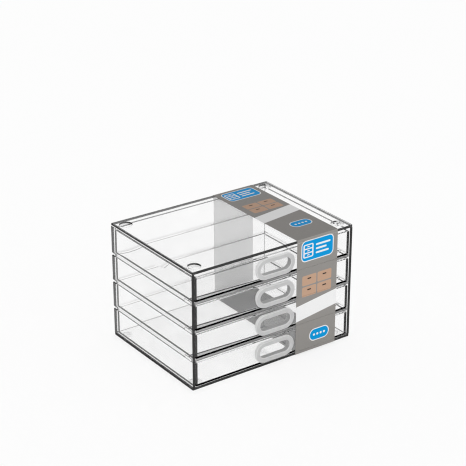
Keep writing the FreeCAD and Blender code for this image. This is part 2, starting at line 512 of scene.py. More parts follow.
def rgba(grey_or_colour: float | Colour) -> tuple[float, float, float, float]:
    """Colour with full alpha from a grey or a colour."""
    if isinstance(grey_or_colour, tuple):
        return (*grey_or_colour, 1.0)
    return (grey_or_colour, grey_or_colour, grey_or_colour, 1.0)


@dataclass(frozen=True)
class Recipe:
    """What a material is made of. Each kind of it gives the shaders."""

    name: str

    def shaders(self, nodes: Nodes) -> dict[str, object]:
        """Shaders by the name of the output that they join."""
        raise NotImplementedError

    def make(self) -> Material:
        """Build the material.

        Returns:
            The material.
        """
        material = bpy.data.materials.new(self.name)
        nodes = Nodes(material)
        nodes.add("OutputMaterial", **self.shaders(nodes))
        return material


@dataclass(frozen=True)
class ClearPlastic(Recipe):
    """Clear polished plastic, with a faint variation from the mould.

    The surfaces that a view meets first mirror and bend light as glass does. Deeper ones bend it,
    and mirror it only where it can't get out, so that the many layers behind stay calm. A face lets
    the share called passing through and sends back the share called mirroring of trapped light.
    Light for shadows passes straight through, dimmed by shadow_pass. A face can also scatter the share
    haze of light, in the grey haze_tone; on the painted dark edges this stands in for a reflection.
    """

    passing: float
    absorption: float = 0.5
    mirroring: float = 1.0
    shadow_pass: float = 0.993
    haze: float = 0.0
    haze_tone: float = 0.15
    refraction: float = 1.5
    sheen_depth: float = 1.5
    trapped_past: float = 0.5
    flow_scale: float = 60.0
    flow_share: float = 0.008

    def shaders(self, nodes: Nodes) -> dict[str, object]:
        """Shaders of the surface and of the volume."""
        flow = nodes.noise(self.flow_scale, detail=4.0, low=0.0, high=1.0)
        dull = self.passing * (1 - self.flow_share)
        through = nodes.blend(flow, rgba(dull), rgba(self.passing))
        bent = nodes.add("BsdfRefraction", Color=through, Roughness=0.0, IOR=self.refraction)
        mirror = nodes.add("BsdfGlossy", Color=rgba(self.mirroring), Roughness=0.0)
        trapped = nodes.math("GREATER_THAN", nodes.add("Fresnel", IOR=self.refraction), self.trapped_past)
        seen = nodes.mix(trapped, bent, mirror)
        light = nodes.add("LightPath").outputs
        if self.sheen_depth > 0:
            glass = nodes.add(
                "BsdfPrincipled", Base_Color=nodes.blend(flow, rgba(dull**2), rgba(self.passing**2)),
                Roughness=0.0, IOR=self.refraction, Transmission_Weight=1.0,
            )
            behind = nodes.math("GREATER_THAN", light["Transmission Depth"], self.sheen_depth)
            seen = nodes.mix(behind, glass, seen)
        if self.haze > 0:
            seen = nodes.mix(self.haze, seen, nodes.add("BsdfDiffuse", Color=rgba(self.haze_tone)))
        straight = nodes.math("MAXIMUM", light["Is Shadow Ray"], light["Is Diffuse Ray"])
        passed = nodes.add("BsdfTransparent", Color=rgba(self.shadow_pass))
        volume = nodes.add("VolumeAbsorption", Color=rgba(0.0), Density=self.absorption)
        return {"Surface": nodes.mix(straight, seen, passed), "Volume": volume}


@dataclass(frozen=True)
class FrostedPlastic(Recipe):
    """Frosted milky plastic, fine grained: greyer on its flat front, with a painted highlight on its
    rounded rims.
    """

    face: float
    rim: float
    rim_highlight_turn: float = 0.75
    roughness: float = 0.42
    glow_share: float = 0.2

    def shaders(self, nodes: Nodes) -> dict[str, object]:
        """Shaders of the surface."""
        # painted highlight: the colour goes from the face's grey to the paler rim tone as the surface
        # turns away from the front
        facing = nodes.add("NewGeometry").outputs["Normal"]
        frontal = nodes.math("ABSOLUTE", nodes.add("SeparateXYZ", s0=facing).outputs[1])
        tone = nodes.spread(frontal, self.rim_highlight_turn, 1.0, self.rim, self.face)
        cloud = nodes.noise(scale=150.0, detail=4.0, low=0.96, high=1.0)
        value = nodes.math("MULTIPLY", tone, cloud)
        colour = nodes.add("CombineXYZ", X=value, Y=value, Z=value)
        normal = nodes.grain(scale=2500.0, height=0.00002)
        gloss = nodes.gloss(self.roughness)
        body = nodes.add("BsdfPrincipled", Base_Color=colour, Roughness=gloss, Normal=normal)
        glow = nodes.add("BsdfTranslucent", Color=colour, Normal=normal)
        return {"Surface": nodes.mix(self.glow_share, body, glow)}


@dataclass(frozen=True)
class SatinPlastic(Recipe):
    """Satin surface with a fine grain, whose colour and gloss vary a little."""

    colour: Colour
    dull_share: float = 0.94
    roughness: float = 0.4

    def shaders(self, nodes: Nodes) -> dict[str, object]:
        """Shaders of the surface."""
        dull = tuple(self.dull_share * part for part in self.colour)
        share = nodes.noise(scale=180.0, detail=4.0, low=0.0, high=1.0)
        colour = nodes.blend(share, rgba(dull), rgba(self.colour))
        gloss = nodes.gloss(self.roughness)
        normal = nodes.grain(scale=2500.0, height=0.00002)
        return {"Surface": nodes.add("BsdfPrincipled", Base_Color=colour, Roughness=gloss, Normal=normal)}


@dataclass(frozen=True)
class FilmInside(Recipe):
    """Bare inner side of the printed film: pale where it stands, with painted light, and painted shade
    where it lies under the cabinet.
    """

    # pale is brighter than bare film, painted light that stands in for light through the film from behind;
    # dark is painted shade
    pale: float = 0.95
    dark: float = 0.3
    roughness: float = 0.6

    def shaders(self, nodes: Nodes) -> dict[str, object]:
        """Shaders of the surface."""
        facing = nodes.add("NewGeometry").outputs["Normal"]
        # painted shade: faces that look up, where the film lies under the cabinet, take the dark tone
        lying_in_painted_shade = nodes.math("GREATER_THAN", nodes.add("SeparateXYZ", s0=facing).outputs[2], TURNED_PAST)
        tone = nodes.blend(lying_in_painted_shade, rgba(self.pale), rgba(self.dark))
        colour = nodes.scaled(tone, nodes.noise(scale=900.0, detail=4.0, low=0.94, high=1.0))
        return {"Surface": nodes.add("BsdfPrincipled", Base_Color=colour, Roughness=self.roughness)}


@dataclass(frozen=True)
class Patch:
    """Rounded rectangle of the print, in millimetres: centre, half sizes, corner radius and colour."""

    across: float
    along: float
    half_across: float
    half_along: float
    radius: float
    colour: Colour


@dataclass(frozen=True)
class PrintedFilm(Recipe):
    """Printed side of the film: a plain layout of a tag, tiles, a slanted band and a pill.

    The same layout is on the front and on the roof, the one repeat behind the other, and the roof's copy
    is darkened as painted shade. Places are millimetres on the chart, across from the left edge and along
    from the front's top corner, which is negative down the front.
    """

    grey: Colour = (0.315, 0.302, 0.286)
    blue: Colour = (0.0, 0.335, 0.75)
    white: Colour = (0.95, 0.95, 0.95)
    tan: Colour = (0.578, 0.376, 0.263)
    dark: Colour = (0.045, 0.038, 0.034)
    middle: float = 21.2
    repeat: float = 118.5
    roof_length: float = 120.4
    # painted shade: the print on the roof is made darker than on the front by this factor
    roof_painted_shade: float = 0.62
    tag_along: float = -11.8
    icon_across: float = 11.6
    bars_from: float = 19.4
    tiles_along: float = -43.5
    band: tuple[float, float] = (-71.5, -57.5)
    band_slope: float = -0.14
    pill_place: tuple[float, float] = (25.0, -91.5)
    ink_blur: float = 0.06
    sheen: float = 0.06

    def tag(self) -> list[Patch]:
        """Blue tag with a small stack of drawers on a white plate, and three plain bars beside it."""
        blue, white, along, icon = self.blue, self.white, self.tag_along, self.icon_across
        made = [
            Patch(self.middle, along, 16.9, 9.5, 4.6, white),
            Patch(self.middle, along, 16.1, 8.7, 3.8, blue),
            Patch(icon, along, 5.2, 6.0, 1.4, white),
        ]
        for level in (-3.7, 0.0, 3.7):
            made.append(Patch(icon, along + level, 4.0, 1.35, 0.5, blue))
            made.append(Patch(icon, along + level, 1.2, 0.4, 0.35, white))
        for level, half in ((3.7, 7.6), (0.0, 5.6), (-3.7, 6.8)):
            made.append(Patch(self.bars_from + half, along + level, half, 0.8, 0.75, white))
        return made

    def tiles(self) -> list[Patch]:
        """Four tan tiles, each with a dark slot."""
        made = []
        for across in (13.2, 29.2):
            for step in (-5.1, 5.1):
                made.append(Patch(across, self.tiles_along + step, 7.4, 4.5, 1.2, self.tan))
                made.append(Patch(across, self.tiles_along + step + 1.4, 2.0, 0.6, 0.55, self.dark))
        return made

    def pill(self) -> list[Patch]:
        """Blue pill with a white rim and a dot for each drawer."""
        across, along = self.pill_place
        steps = (-5.4, -1.8, 1.8, 5.4)
        dots = [Patch(across + step, along, 1.05, 1.05, 1.0, self.white) for step in steps]
        rim = Patch(across, along, 10.6, 5.7, 5.6, self.white)
        return [rim, Patch(across, along, 9.8, 4.9, 4.8, self.blue), *dots]

    def inside(self, nodes: Nodes, place: object, patch: Patch) -> Node:
        """1 inside a patch, which reaches its radius beyond its core."""
        core = (patch.half_across - patch.radius, patch.half_along - patch.radius)
        beyond = nodes.beyond(place, (patch.across, patch.along), core)
        return nodes.spread(beyond, patch.radius + self.ink_blur, patch.radius - self.ink_blur, 0.0, 1.0)

    def slanted(self, nodes: Nodes, place: object) -> Node:
        """1 inside the white band, whose two edges rise across the film."""
        leaning = nodes.vector("DOT_PRODUCT", place, (self.band_slope, 1.0, 0.0)).outputs[1]
        low, high = (edge + self.band_slope * self.middle for edge in self.band)
        above = nodes.spread(leaning, low - self.ink_blur, low + self.ink_blur, 0.0, 1.0)
        below = nodes.spread(leaning, high + self.ink_blur, high - self.ink_blur, 0.0, 1.0)
        return nodes.math("MULTIPLY", above, below)

    def shaders(self, nodes: Nodes) -> dict[str, object]:
        """Shaders of the surface."""
        chart = nodes.add("UVMap")
        chart.uv_map = "chart"
        spot = nodes.scaled(chart, MM_PER_M)
        along = nodes.add("SeparateXYZ", s0=spot).outputs[1]
        past_fold = nodes.math("GREATER_THAN", along, 0.0)
        on_roof = nodes.math("MULTIPLY", past_fold, nodes.math("LESS_THAN", along, self.roof_length))
        shift = nodes.add("CombineXYZ", Y=nodes.math("MULTIPLY", past_fold, -self.repeat))
        place = nodes.vector("ADD", spot, shift)
        colour = nodes.blend(self.slanted(nodes, place), rgba(self.grey), rgba(self.white))
        for patch in self.tag() + self.tiles() + self.pill():
            colour = nodes.blend(self.inside(nodes, place, patch), colour, rgba(patch.colour))
        ink = nodes.noise(scale=1500.0, detail=3.0, low=0.95, high=1.0)
        # painted shade: the print's colour is multiplied darker on the roof
        painted_roof_shade = nodes.spread(on_roof, 0.0, 1.0, 1.0, self.roof_painted_shade)
        return {"Surface": nodes.add(
            "BsdfPrincipled",
            Base_Color=nodes.scaled(colour, nodes.math("MULTIPLY", ink, painted_roof_shade)),
            Roughness=nodes.noise(scale=300.0, detail=3.0, low=0.42, high=0.52),
            Specular_IOR_Level=self.sheen,
            Normal=nodes.grain(scale=4000.0, height=0.000003),
        )}


@dataclass
class Finishes:
    """Every material of the object."""

    face: Material
    edge: Material
    shelf_edge: Material
    joint: Material
    coupled: Material
    tray_face: Material
    tray_edge: Material
    ring: Material
    painted_shade_ring_hole: Material
    foot: Material
    printed: Material
    sleeve_inside: Material


def place(piece: Piece, node: str, body: str, slot: str) -> Piece:
    """Let a piece stand for its construction solid and ride its body."""
    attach(piece, body)
    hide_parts(node)
    log.info("%s stands for %s on %s, %d faces", piece.name, node, body, len(piece.data.polygons))
    return piece


@dataclass
class Cabinet:
    """Roof, floor, walls, back and shelves."""

    finishes: Finishes
    joint_gap: float = 0.00004
    corner_radius: float = 0.0008
    small_radius: float = 0.00025
    socket_radius: float = 0.0056
    socket_depth: float = 0.0015
    spigot_hole_radius: float = 0.0026
    spigot_hole_depth: float = 0.0013
    shelf_thickness: float = 0.0022
    tab_clearance: float = 0.0001
    front_tab_length: float = 0.009
    front_tab_inset: float = 0.0026
    front_tab_reach: float = 0.0013
    rear_tab_length: float = 0.0054
    nub_width: float = 0.006
    nub_length: float = 0.0024
    nub_inset: float = 0.011
    painted_shade_share: float = 0.6
    arc_steps: int = 5
    round_steps: int = 56

    def __post_init__(self) -> None:
        """Read the places that the frame gives."""
        self.front, self.rear = (corner[1] for corner in node_box("roof_panel"))
        self.roof_underside = node_box("left_wall")[1][2]

    def rounded(self, corners: Array) -> Outline:
        """Outline with the small radius at its corners."""
        return rounded_outline(corners, self.small_radius, self.arc_steps)

    def nubs(self, node: str, underside: float) -> list[Step]:
        """The two stop nubs under a shelf or the roof, as deep as the solid has them."""
        depth = underside - node_box(node)[0][2]
        near, half = self.front + self.nub_inset, node_box("drawer_tray_1")[1][0]
        made = []
        for low_x in (-half, half - self.nub_width):
            corners = rectangle((low_x, near), (low_x + self.nub_width, near + self.nub_length))
            made.append(Step(self.rounded(corners), depth, Kind.BOSS, on_high_face=False))
        return made

    def discs(self, radius: float, depth: float, on_high_face: bool) -> list[Step]:
        """Round pocket over or under each foot."""
        made = []
        for corner in FOOT_CORNERS:
            low, high = node_box("foot_" + corner)
            outline = circle((low[:2] + high[:2]) / 2, radius, self.round_steps)
            made.append(Step(outline, depth, Kind.POCKET, on_high_face))
        return made

    def roof(self) -> Panel:
        """Roof with its four sockets and two nubs."""
        low, high = node_box("roof_panel")
        outline = rounded_outline(rectangle(low[:2], high[:2]), self.corner_radius, self.arc_steps)
        steps = self.discs(self.socket_radius, self.socket_depth, on_high_face=True)
        steps += self.nubs("roof_panel", self.roof_underside)
        # painted shade: the roof's side faces take the dark edge finish above the seam and the joint
        # finish below it
        seam = high[2] - self.painted_shade_share * (high[2] - self.roof_underside)
        joined = {Finish.JOINT: np.abs(outline[1][:, 0]) > TURNED_PAST}
        underside = self.roof_underside
        return Panel(outline, underside, high[2], Facing.UP, steps=steps, joined=joined, seam=seam)

    def floor(self) -> Panel:
        """Floor with a blind hole for each foot's spigot."""
        low, high = node_box("floor_panel")
        outline = rounded_outline(rectangle(low[:2], high[:2]), self.corner_radius, self.arc_steps)
        steps = self.discs(self.spigot_hole_radius, self.spigot_hole_depth, on_high_face=False)
        return Panel(outline, low[2], high[2], Facing.UP, steps=steps)

    def wall(self, node: str) -> Panel:
        """Side wall with a notch at the rear and a pocket near the front for each shelf."""
        low, high = node_box(node)
        bottom, top = low[2] + self.joint_gap, high[2] - self.joint_gap
        notch_y = self.rear - self.rear_tab_length - self.tab_clearance
        near = self.front + self.front_tab_inset - self.tab_clearance
        far = near + self.front_tab_length + self.tab_clearance * 2
        depth = self.front_tab_reach + self.tab_clearance
        corners = [(self.front, bottom), (self.rear, bottom)]
        steps = []
        for number in DRAWERS[:-1]:
            over = node_box("shelf_%d" % number)[1][2]
            z1, z2 = over - self.shelf_thickness - self.tab_clearance, over + self.tab_clearance
            corners += [(self.rear, z1), (notch_y, z1), (notch_y, z2), (self.rear, z2)]
            outline = self.rounded(rectangle((near, z1), (far, z2)))
            steps.append(Step(outline, depth, Kind.POCKET, on_high_face=high[0] < 0))
        corners += [(self.rear, top), (self.front, top)]
        outline = self.rounded(np.array(corners))
        return Panel(outline, low[0], high[0], Facing.SIDEWAYS, self.small_radius, steps=steps)

    def back(self) -> Panel:
        """Back panel, let in between the walls."""
        low, high = node_box("back_panel")
        gap = self.joint_gap
        outline = self.rounded(rectangle((low[2] + gap, low[0] + gap), (high[2] - gap, high[0] - gap)))
        return Panel(outline, low[1], high[1], Facing.BACKWARD, self.small_radius)

    def shelf(self, node: str) -> Panel:
        """Shelf with its four tabs and two nubs."""
        low, high = node_box(node)
        wall = node_box("right_wall")[0][0]
        inner, tab = wall - self.joint_gap, wall + self.front_tab_reach
        near = self.front + self.front_tab_inset
        far = near + self.front_tab_length
        rear_tab = self.rear - self.rear_tab_length
        edge = node_box("back_panel")[0][1] - self.joint_gap
        side = [
            (inner, low[1]), (inner, near), (tab, near), (tab, far), (inner, far),
            (inner, rear_tab), (high[0], rear_tab), (high[0], high[1]), (inner, high[1]), (inner, edge),
        ]
        outline = self.rounded(np.array(side + [(-x, y) for x, y in reversed(side)]))
        depthwise = outline[1][:, 1]
        rearward = (depthwise > TURNED_PAST) & (outline[0][:, 1] < edge + self.joint_gap)
        joined = {Finish.JOINT: (depthwise > -TURNED_PAST) & ~rearward, Finish.COUPLED: rearward}
        underside = high[2] - self.shelf_thickness
        steps = self.nubs(node, underside)
        return Panel(outline, underside, high[2], Facing.UP, self.small_radius, steps=steps, joined=joined)

    def build(self) -> list[Piece]:
        """Build and dress the cabinet's panels.

        Returns:
            The pieces.
        """
        panels = {"roof_panel": self.roof(), "floor_panel": self.floor()}
        panels |= {node: self.wall(node) for node in ("left_wall", "right_wall")}
        panels["back_panel"] = self.back()
        panels |= {node: self.shelf(node) for node in ("shelf_%d" % number for number in DRAWERS[:-1])}
        made = []
        for node, panel in panels.items():
            skin = Skin()
            panel.build(skin)
            materials = {Finish.FACE: self.finishes.face, Finish.EDGE: self.finishes.edge}
            if Finish.JOINT in panel.joined:
                materials[Finish.JOINT] = self.finishes.joint
            if Finish.COUPLED in panel.joined:
                # painted shade on the shelf's front edge
                materials[Finish.EDGE] = self.finishes.shelf_edge
                materials[Finish.COUPLED] = self.finishes.coupled
            piece = skin.to_object("clear_" + node, materials)
            made.append(place(piece, node, "cabinet", "clear_cabinet"))
        return made


@dataclass
class Foot:
    """Round foot with a spigot, which is a section turned about the upright axis."""

    finishes: Finishes
    edge_radius: float = 0.0003
    spigot_radius: float = 0.0025
    seat_gap: float = 0.00004
    round_steps: int = 56
    rows: int = 4

    def build(self, corner: str) -> Piece:
        """Build and dress the foot at one corner: its section carried round a circle of no radius.

        Args:
            corner: Which of the four feet.

        Returns:
            The piece.
        """
        low, high = node_box("foot_" + corner)
        (_, _, base), (_, _, top) = low, high
        pad_top = node_box("floor_panel")[0][2] - self.seat_gap
        centre, radius = (low[:2] + high[:2]) / 2, (high[0] - low[0]) / 2
        spigot, edge = self.spigot_radius, self.edge_radius
        corners = [
            (0.0, base), (radius, base), (radius, pad_top), (spigot, pad_top), (spigot, top), (0.0, top)
        ]
        section = bends(corners, [0.0, edge, edge, edge / 2, edge / 2, 0.0], self.rows)
        skin = Skin()
        index = skin.add_grid(*carried(circle(centre, 0.0, self.round_steps), section))
        skin.add_quads(index, Finish.FACE)
        for row, height, facing in ((0, base, -1.0), (-1, top, 1.0)):
            skin.add_fan(index[row], np.array([*centre, height]), np.array([0, 0, facing]), Finish.FACE)
        piece = skin.to_object("soft_foot_" + corner, {Finish.FACE: self.finishes.foot})
        return place(piece, "foot_" + corner, "cabinet", "soft_foot")


@dataclass
class Drawer:
    """Tray and pull ring of one drawer."""

    finishes: Finishes
    number: int
    floor_thickness: float = 0.0013
    wall_thickness: float = 0.0016
    front_thickness: float = 0.002
    outer_radius: float = 0.00025
    inner_radius: float = 0.0005
    floor_radius: float = 0.0002
    base_radius: float = 0.0003
    rim_radius: float = 0.00035
    rear_rise: float = 0.0009
    rear_slope: float = 0.0002
    guide_height: float = 0.0019
    corner_width: float = 0.0014
    corner_depth: float = 0.0012
    hole_rim: float = 0.00135
    hole_edge: float = 0.00012
    hole_rows: int = 3
    ring_rim: float = 0.0041
    ring_neck: float = 0.0012
    ring_lip: float = 0.0026
    ring_lip_thickness: float = 0.0012
    ring_front_radius: float = 0.0009
    ring_back_radius: float = 0.0003
    ring_small_radius: float = 0.00012
    ring_steps: int = 5
    seat_gap: float = 0.00005
    rows: int = 4
    arc_steps: int = 7
    slack: float = 1.01
    end_steps: int = 28

    def __post_init__(self) -> None:
        """Read the places that the frame gives."""
        low, high = node_box("drawer_tray_%d" % self.number)
        self.front, self.rear, self.half, self.base = low[1], high[1], high[0], low[2]
        self.rim = high[2] - self.rear_rise
        low, high = node_box("pull_ring_%d" % self.number)
        width, _, height = high - low
        self.ring_front = low[1]
        self.ring_centre = (low[2] + high[2]) / 2
        self.hole_radius = height / 2 - self.ring_rim
        self.half_run = (width - height) / 2

    def outlines(self) -> tuple[Array, Array, Array]:
        """Outer and inner outline of the tray, point for point, and their shared normals.

        Added to the four corner arcs are columns where the front's corners end on the sides, where
        the rear wall's taller rim starts and ends, and on either side of the front's flat window.

        Returns:
            Outer points, inner points and normals.
        """
        half, inner_half = self.half, self.half - self.wall_thickness
        front, inner_front = self.front, self.front + self.front_thickness
        near, slope = self.rear - self.wall_thickness, self.rear_slope
        outer, normals = rounded_outline(
            rectangle((-half, front), (half, self.rear)), self.outer_radius, self.arc_steps
        )
        inner, _ = rounded_outline(
            rectangle((-inner_half, inner_front), (inner_half, near)), self.inner_radius, self.arc_steps
        )
        inset = self.inner_radius + slope / 4
        side = np.array([(half, front + self.corner_depth), (half, near - slope), (half, near)])
        inner_side = np.array([
            (inner_half, inner_front + inset),
            (inner_half, near - slope - inset),
            (inner_half, near - inset),
        ])
        mirrored = np.array([-1.0, 1.0])
        per = self.arc_steps + 1
        split = [per] * 3 + [3 * per] * 3 + [4 * per] * 2
        joined = []
        for outline, run, reach, level in (
            (outer, side, half - self.corner_width, front),
            (inner, inner_side, inner_half - inset, inner_front),
        ):
            window = [(-reach, level), (reach, level)]
            added = np.vstack([run, run[::-1] * mirrored, window])
            joined.append(np.insert(outline, split, added, axis=0))
        added = np.repeat([(1.0, 0.0), (-1.0, 0.0), (0.0, -1.0)], (3, 3, 2), axis=0)
        return *joined, np.insert(normals, split, added, axis=0)

    def tray(self) -> Piece:
        """Tray: one section carried round the outline, with a hole through the flat front.

        The section goes from the base's round edge up the outer wall, over the rim, down the inner
        wall and through the floor's fillet. An outer point is outline - n r (1 - cos p), and an
        inner one is inner outline + n r (1 - cos p).

        Returns:
            The piece.
        """
        outer, inner, side = self.outlines()
        raised = outer[:, 1] > self.rear - self.wall_thickness - self.rear_slope / 2
        rim = np.where(raised, self.rim + self.rear_rise, self.rim)
        stepped = raised != np.roll(raised, -1)
        frontal = outer[:, 1] < self.front + self.corner_depth * self.slack
        window = np.arange(len(outer)) == len(outer) - 2
        corner = frontal & np.roll(frontal, -1) & ~window
        lengthwise = (side[:, 1] >= -TURNED_PAST) & ~stepped
        arc = list(zip(*quarter(self.rows)))
        points, normals = [], []

        def row(line: Array, move: float, height: Array | float, out: float, up: float) -> None:
            """Add one row of the section, moved out along the normals."""
            points.append(woven(*(line + side * move).T, height))
            normals.append(woven(*(side * out).T, up))

        for s, c in reversed(arc):
            row(outer, -self.base_radius * (1 - c), self.base + self.base_radius * (1 - s), c, -s)
        row(outer, 0.0, self.base + self.guide_height, 1.0, 0.0)
        outer_low = len(arc)
        for s, c in arc:
            row(outer, -self.rim_radius * (1 - c), rim - self.rim_radius * (1 - s), c, s)
        inner_high = outer_low + 2 * len(arc)
        for s, c in reversed(arc):
            row(inner, self.rim_radius * (1 - c), rim - self.rim_radius * (1 - s), -c, s)
        inner_floor = self.base + self.floor_thickness
        for s, c in arc:
            row(inner, -self.floor_radius * (1 - c), inner_floor + self.floor_radius * (1 - s), -c, s)
        skin = Skin()
        index = skin.add_grid(np.stack(points), np.stack(normals))
        walls, rims = index[outer_low : outer_low + 2], index[outer_low + 1 : inner_high + 1]
        skin.add_quads(index[: outer_low + 1], Finish.EDGE)
        skin.add_quads(walls, Finish.FACE, picked=~window & ~corner)
        # painted shade: the front's corner strips and the long rims take the dark edge finish
        skin.add_quads(walls, Finish.PAINTED_SHADE, picked=corner)
        skin.add_quads(rims, Finish.PAINTED_SHADE, picked=lengthwise)
        skin.add_quads(rims, Finish.FACE, picked=~lengthwise & ~stepped)
        skin.add_quads(rims, Finish.FACE, picked=stepped, creased=True)
        skin.add_quads(index[inner_high : inner_high + 2], Finish.FACE, picked=~window)
        skin.add_quads(index[inner_high + 1 :], Finish.FACE)
        hole = self.front_hole(skin)
        for low_row, high_row, loop, facing in (
            (index[outer_low], index[outer_low + 1], hole[0], -1.0),
            (index[inner_high + 1], index[inner_high], hole[-1], 1.0),
        ):
            frame_loop = np.array([low_row[-2], low_row[-1], high_row[-1], high_row[-2]])
            skin.add_cap([frame_loop, loop], np.array([0, facing, 0]), Finish.FACE)
        skin.add_cap([index[0]], np.array([0, 0, -1.0]), Finish.FACE)
        skin.add_cap([index[-1]], np.array([0, 0, 1.0]), Finish.FACE)
        materials = {
            Finish.FACE: self.finishes.tray_face,
            Finish.EDGE: self.finishes.tray_edge,
            Finish.PAINTED_SHADE: self.finishes.edge,
        }
        piece = skin.to_object("clear_tray_%d" % self.number, materials)
        return place(piece, "drawer_tray_%d" % self.number, "drawer_%d" % self.number, "clear_tray")

    def round_ring(self, skin: Skin, radius: float, section: Outline) -> Array:
        """Add a section (d, y) carried round an obround in the front.

        Args:
            skin: The mesh in the making.
            radius: Radius of the obround's ends.
            section: Points and normals of the section.

        Returns:
            (rows, columns) point indices.
        """
        outline = obround(self.half_run, radius, self.end_steps)
        points, normals = (part[..., [0, 2, 1]] for part in carried(outline, section))
        return skin.add_grid(points + np.array([0, 0, self.ring_centre]), normals)

    def front_hole(self, skin: Skin) -> Array:
        """Wall of the obround hole through the drawer front, with both its edges rounded.

        Returns:
            (rows, columns) point indices, from the outer face to the inner one.
        """
        sine, cosine = quarter(self.hole_rows)
        edge = self.hole_edge
        out = np.concatenate([edge * (1 - sine), edge * (1 - sine[::-1])])
        depth = np.concatenate([edge * (1 - cosine), self.front_thickness - edge * (1 - cosine[::-1])])
        inward = np.concatenate([sine, sine[::-1]])
        along = np.concatenate([-cosine, cosine[::-1]])
        section = woven(out, self.front + depth), woven(-inward, along)
        index = self.round_ring(skin, self.hole_radius + self.hole_rim, section)
        skin.add_quads(index, Finish.FACE)
        return index

    def ring(self) -> Piece:
        """Pull ring: one section carried round the obround.

        Returns:
            The piece.
        """
        front, rim, neck, lip = self.ring_front, self.ring_rim, self.ring_neck, self.ring_lip
        seat = self.front - self.seat_gap
        inner = self.front + self.front_thickness + self.seat_gap
        lip_back = inner + self.ring_lip_thickness - self.seat_gap
        big, small, back = self.ring_front_radius, self.ring_small_radius, self.ring_back_radius
        corners = np.array([
            (0.0, front), (rim, front), (rim, seat), (neck, seat),
            (neck, inner), (lip, inner), (lip, lip_back), (0.0, lip_back),
        ])
        radii = np.array([big, big, back, small, small, back, back, back])
        skin = Skin()
        index = self.round_ring(skin, self.hole_radius, rounded_outline(corners, radii, self.ring_steps))
        skin.add_quads(index, Finish.FACE)
        # painted shade: the wall of the ring's hole takes a darker finish than its face
        skin.add_quads(index[[-1, 0]], Finish.EDGE)
        materials = {Finish.FACE: self.finishes.ring, Finish.EDGE: self.finishes.painted_shade_ring_hole}
        piece = skin.to_object("frosted_ring_%d" % self.number, materials)
        return place(piece, "pull_ring_%d" % self.number, "drawer_%d" % self.number, "frosted_ring")

    def build(self) -> list[Piece]:
        """Build and dress the drawer's tray and ring."""
        return [self.tray(), self.ring()]


@dataclass
class Ribbon:
    """A thin strip of printed film that follows a path in the upright plane through the depth."""

    edge_radius: float = 0.0001
    edge_steps: int = 3
    fold_radius: float = 0.0006
    fold_steps: int = 6

    def open_path(self, corners: Array) -> Outline:
        """Points (y, z) along the path with its folds as arcs, and the unit normals on its right.

        Each inner corner is an arc as in rounded_outline, and the two ends are kept as they are.
        """
        points, normals = bends(corners, self.fold_radius, self.fold_steps)
        ends = []
        for run in (corners[1] - corners[0], corners[-1] - corners[-2]):
            run = run / np.linalg.norm(run)
            ends.append([(run[1], -run[0])])
        path = np.concatenate([corners[:1], points, corners[-1:]])
        return path, np.concatenate([ends[0], normals, ends[1]])

    def build(
        self, skin: Skin, corners: Array, left: float, right: float, thickness: float, start: float
    ) -> None:
        """Add the ribbon to the skin. Its chart runs across the width and along the path.

        A section point (x, t) at a place of the path is (x, path - n t). The section starts and ends
        on the inner side, so the quads that don't wrap are the printed side and both edges.

        Args:
            skin: The mesh in the making.
            corners: (n, 2) places (y, z) of the ribbon's middle, with its outside on the left hand.
            left: Lowest x.
            right: Highest x.
            thickness: Thickness of the film.
            start: Chart position of the path's first point.
        """
        path, sides = self.open_path(corners)
        half = thickness / 2
        corners = rectangle((left, -half), (right, half))
        section = rounded_outline(corners, self.edge_radius, self.edge_steps)
        along = np.concatenate([[0.0], np.cumsum(np.linalg.norm(np.diff(path, axis=0), axis=1))]) + start
        (x, t), (u, v) = (part.T for part in section)
        (y, z), (a, b) = path.T[..., None], sides.T[..., None]
        points, normals = woven(x, y - t * a, z - t * b), woven(u, -v * a, -v * b)
        index = skin.add_grid(points, normals, woven(x - left, along[:, None]))
        skin.add_quads(index, Finish.FACE, wrap=False)
        skin.add_quads(index[:, [-1, 0]], Finish.EDGE, wrap=False)
        for row, facing in ((0, -1.0), (-1, 1.0)):
            run = np.array([0, -sides[row][1], sides[row][0]]) * facing
            skin.add_cap([index[row]], run, Finish.FACE, flat=True)


@dataclass
class Sleeve:
    """Printed sleeve round the cabinet, and its stretches on the drawer fronts."""

    finishes: Finishes
    thickness: float = 0.0003
    air: float = 0.00003
    drawer_room: float = 0.00025

    def piece(self, name: str, node: str, body: str, corners: list[Pair]) -> Piece:
        """Piece of the sleeve along a path, with the chart's zero at the fold over the front.

        Args:
            name: Name of the piece.
            node: The construction solid that it stands for.
            body: The body that it rides.
            corners: Places (y, z) of the film's middle.

        Returns:
            The piece.
        """
        low, high = node_box("cabinet_sleeve")
        skin = Skin()
        film = self.thickness - self.air
        Ribbon().build(skin, np.array(corners), low[0], high[0], film, corners[0][1] - high[2])
        materials = {Finish.FACE: self.finishes.printed, Finish.EDGE: self.finishes.sleeve_inside}
        return place(skin.to_object(name, materials), node, body, "printed_sleeve")

    def build(self) -> list[Piece]:
        """Build and dress the sleeve and the strips.

        Returns:
            The pieces.
        """
        half = self.thickness / 2
        (_, front, base), (_, rear, top) = node_box("cabinet_sleeve")
        front, base, rear, top = front + half, base + half, rear - half, top - half
        upper_end = node_box("left_wall")[1][2]
        lower_end = node_box("drawer_tray_1")[0][2] - self.drawer_room
        corners = [
            (front, upper_end), (front, top), (rear, top), (rear, base), (front, base), (front, lower_end)
        ]
        made = [self.piece("printed_sleeve", "cabinet_sleeve", "cabinet", corners)]
        for number in DRAWERS:
            node = "drawer_strip_%d" % number
            run = [(front, corner[2]) for corner in node_box(node)]
            made.append(self.piece("printed_strip_%d" % number, node, "drawer_%d" % number, run))
        return made


